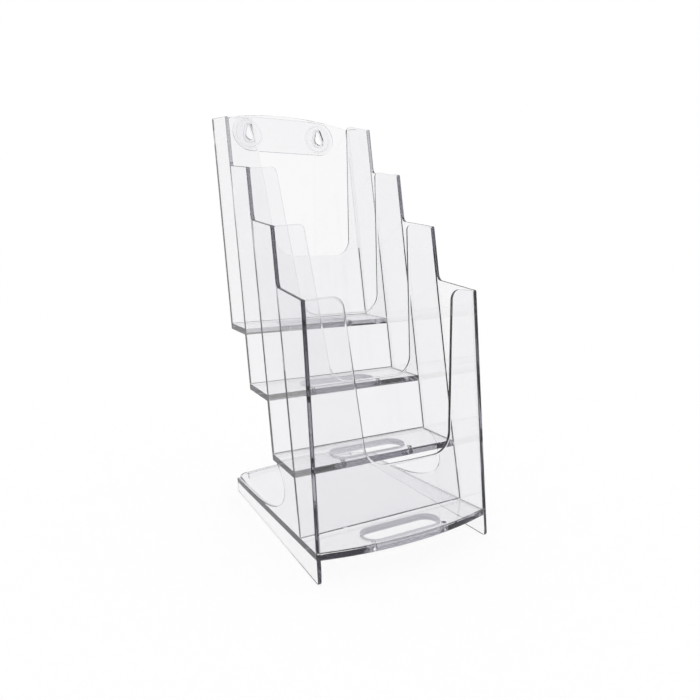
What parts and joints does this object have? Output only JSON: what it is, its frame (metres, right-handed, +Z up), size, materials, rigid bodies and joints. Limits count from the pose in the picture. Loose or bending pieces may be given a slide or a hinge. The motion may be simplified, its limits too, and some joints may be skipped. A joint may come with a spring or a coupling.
{
  "type": "brochure rack",
  "caption": "Free-standing tiered leaflet rack of clear plastic: stepped pockets with finger cut-outs between two side panels, on a skirted base plate, under a crowned back with keyholes.",
  "frame": {"origin": "on the ground under the middle of the rack's outer box", "axes": "+X to the rack's right as its user faces it, +Y towards its back, +Z up"},
  "size_m": [0.124, 0.1928, 0.2853],
  "materials": {
    "clear_plastic": "crystal-clear moulded polystyrene, polished, faint cool tint in the thickness"
  },
  "bodies": {
    "root": {"left_side_panel": "clear_plastic", "right_side_panel": "clear_plastic", "base_plate": "clear_plastic", "tier_1_front_panel": "clear_plastic", "tier_2_front_panel": "clear_plastic", "tier_2_floor": "clear_plastic", "tier_3_front_panel": "clear_plastic", "tier_3_floor": "clear_plastic", "tier_4_front_panel": "clear_plastic", "tier_4_floor": "clear_plastic", "back_panel": "clear_plastic", "hanger_strip": "clear_plastic", "left_hanger_boss": "clear_plastic", "right_hanger_boss": "clear_plastic"}
  },
  "joints": []
}
